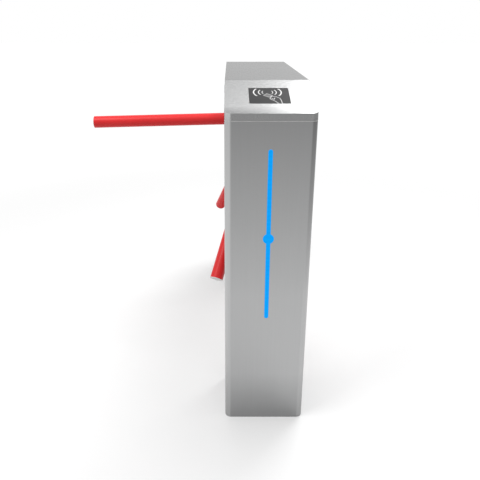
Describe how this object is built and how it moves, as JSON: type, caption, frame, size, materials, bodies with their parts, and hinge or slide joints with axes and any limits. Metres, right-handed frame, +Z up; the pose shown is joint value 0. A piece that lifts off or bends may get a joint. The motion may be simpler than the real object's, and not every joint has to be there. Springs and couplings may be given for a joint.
{
  "type": "access control gate",
  "caption": "Waist-high tripod access gate: narrow steel cabinet on end posts, hinged lid with reader windows, light strips and a turning head with sloping arms.",
  "frame": {"origin": "on the floor, at the centre of the anchor holes and of the cabinet's footprint", "axes": "+Z up, +Y along the cabinet, -X towards the passage that the arms close"},
  "size_m": [0.7143, 1.125, 0.99],
  "materials": {
    "stainless": "brushed along the sheet",
    "hinge_steel": "satin",
    "zinc_steel": "zinc plated, dull",
    "machined_steel": "turned and ground",
    "bearing_steel": "polished",
    "spring_steel": "drawn wire",
    "chrome": "polished",
    "cast_housing": "cast, painted",
    "cast_hub": "die-cast, satin",
    "aluminium": "satin",
    "red_coating": "smooth powder coat, half gloss",
    "pale_plug": "half gloss",
    "rubber": "matt",
    "pale_seal": "matt silicone",
    "black_plastic": "fine grain",
    "window_acrylic": "satin, printed from behind",
    "white_board": "solder mask",
    "blue_light": "lit diffuser"
  },
  "bodies": {
    "cabinet": {"front_post_shell": "stainless", "rear_post_shell": "stainless", "beam_housing": "stainless", "lid_rest_frame": "stainless", "lid_seal": "pale_seal", "base_plates": "zinc_steel", "cable_grommets": "rubber", "fixed_hinge_leaves": "hinge_steel", "hinge_pins": "hinge_steel", "light_diffusers": "blue_light", "light_channels": "aluminium", "light_boards": "white_board", "mechanism_plate": "zinc_steel", "head_trim_ring": "stainless", "bearing_housing": "cast_housing", "bearing_outer_rings": "bearing_steel", "lock_plate": "zinc_steel", "plate_pillars": "machined_steel", "pawl_pins": "machined_steel", "solenoids": "black_plastic", "return_springs": "spring_steel", "damper": "black_plastic", "damper_plate": "zinc_steel", "position_sensors": "black_plastic", "controller": "black_plastic", "power_supply": "aluminium", "terminal_rail": "zinc_steel"},
    "lid": {"lid": "stainless", "lid_stiffeners": "zinc_steel", "lid_hinge_leaves": "hinge_steel", "lid_lock_barrels": "chrome", "reader_windows": "window_acrylic", "reader_cases": "black_plastic"},
    "front_lid_lock": {"front_lid_lock_cam": "chrome"},
    "rear_lid_lock": {"rear_lid_lock_cam": "chrome"},
    "front_door": {"front_door": "stainless", "front_door_hardware": "hinge_steel"},
    "rear_door": {"rear_door": "stainless", "rear_door_hardware": "hinge_steel"},
    "front_door_lock": {"front_door_lock_cam": "chrome"},
    "rear_door_lock": {"rear_door_lock_cam": "chrome"},
    "tripod": {"bearing_inner_rings": "bearing_steel", "main_shaft": "machined_steel", "hub": "cast_hub", "hub_cap": "stainless", "arm_1": "red_coating", "arm_2": "red_coating", "arm_3": "red_coating", "arm_end_plugs": "pale_plug", "hub_screws": "zinc_steel", "lock_wheel": "machined_steel", "index_disc": "aluminium", "drive_gear": "machined_steel", "shaft_spacers": "machined_steel"},
    "ball_sets": {"bearing_balls": "bearing_steel"},
    "damper_pinion": {"damper_pinion": "machined_steel"},
    "entry_pawl": {"entry_pawl": "machined_steel"},
    "exit_pawl": {"exit_pawl": "machined_steel"},
    "entry_plunger": {"entry_plunger": "machined_steel"},
    "exit_plunger": {"exit_plunger": "machined_steel"}
  },
  "joints": [
    {"name": "tripod_turn", "type": "hinge", "parent": "cabinet", "child": "tripod", "pos_m": [0.0155, 0, 0.823], "axis": [-0.7071, 0, -0.7071], "continuous": true},
    {"name": "ball_sets_turn", "type": "hinge", "parent": "cabinet", "child": "ball_sets", "pos_m": [0.0155, 0, 0.823], "axis": [-0.7071, 0, -0.7071], "continuous": true},
    {"name": "damper_turn", "type": "hinge", "parent": "cabinet", "child": "damper_pinion", "pos_m": [0.06288, -0.07, 0.87038], "axis": [-0.7071, 0, -0.7071], "continuous": true},
    {"name": "entry_pawl_turn", "type": "hinge", "parent": "cabinet", "child": "entry_pawl", "pos_m": [0.01621, 0.082, 0.88735], "axis": [-0.7071, 0, -0.7071], "range_deg": [0, 12.5], "stiffness_Nm_per_rad": 0.3, "springref_deg": -28.65},
    {"name": "exit_pawl_turn", "type": "hinge", "parent": "cabinet", "child": "exit_pawl", "pos_m": [0.01621, -0.082, 0.88735], "axis": [0.7071, 0, 0.7071], "range_deg": [0, 12.5], "stiffness_Nm_per_rad": 0.3, "springref_deg": -28.65},
    {"name": "entry_plunger_slide", "type": "slide", "parent": "cabinet", "child": "entry_plunger", "axis": [0, 1, 0], "range_m": [0, 0.00655], "deforming": ["return_springs"]},
    {"name": "exit_plunger_slide", "type": "slide", "parent": "cabinet", "child": "exit_plunger", "axis": [0, -1, 0], "range_m": [0, 0.00655], "deforming": ["return_springs"]},
    {"name": "lid_hinge", "type": "hinge", "parent": "cabinet", "child": "lid", "pos_m": [0.1225, 0, 0.91075], "axis": [0, 1, 0], "range_deg": [0, 80]},
    {"name": "front_lid_lock_turn", "type": "hinge", "parent": "lid", "child": "front_lid_lock", "pos_m": [-0.1175, -0.23, 0.95], "axis": [1, 0, 0], "range_deg": [0, 90]},
    {"name": "rear_lid_lock_turn", "type": "hinge", "parent": "lid", "child": "rear_lid_lock", "pos_m": [-0.1175, 0.23, 0.95], "axis": [-1, 0, 0], "range_deg": [0, 90]},
    {"name": "front_door_hinge", "type": "hinge", "parent": "cabinet", "child": "front_door", "pos_m": [0.09, -0.37, 0.37], "axis": [0, 0, -1], "range_deg": [0, 90]},
    {"name": "rear_door_hinge", "type": "hinge", "parent": "cabinet", "child": "rear_door", "pos_m": [0.09, 0.37, 0.37], "axis": [0, 0, 1], "range_deg": [0, 90]},
    {"name": "front_door_lock_turn", "type": "hinge", "parent": "front_door", "child": "front_door_lock", "pos_m": [-0.062, -0.375, 0.37], "axis": [0, -1, 0], "range_deg": [0, 90]},
    {"name": "rear_door_lock_turn", "type": "hinge", "parent": "rear_door", "child": "rear_door_lock", "pos_m": [-0.062, 0.375, 0.37], "axis": [0, -1, 0], "range_deg": [0, 90]}
  ],
  "couplings": [
    {"joint": "ball_sets_turn", "follows": "tripod_turn", "ratio": 0.39674},
    {"joint": "damper_turn", "follows": "tripod_turn", "ratio": -2.5},
    {"joint": "entry_plunger_slide", "follows": "entry_pawl_turn", "m_per_rad": 0.03},
    {"joint": "exit_plunger_slide", "follows": "exit_pawl_turn", "m_per_rad": 0.03}
  ]
}
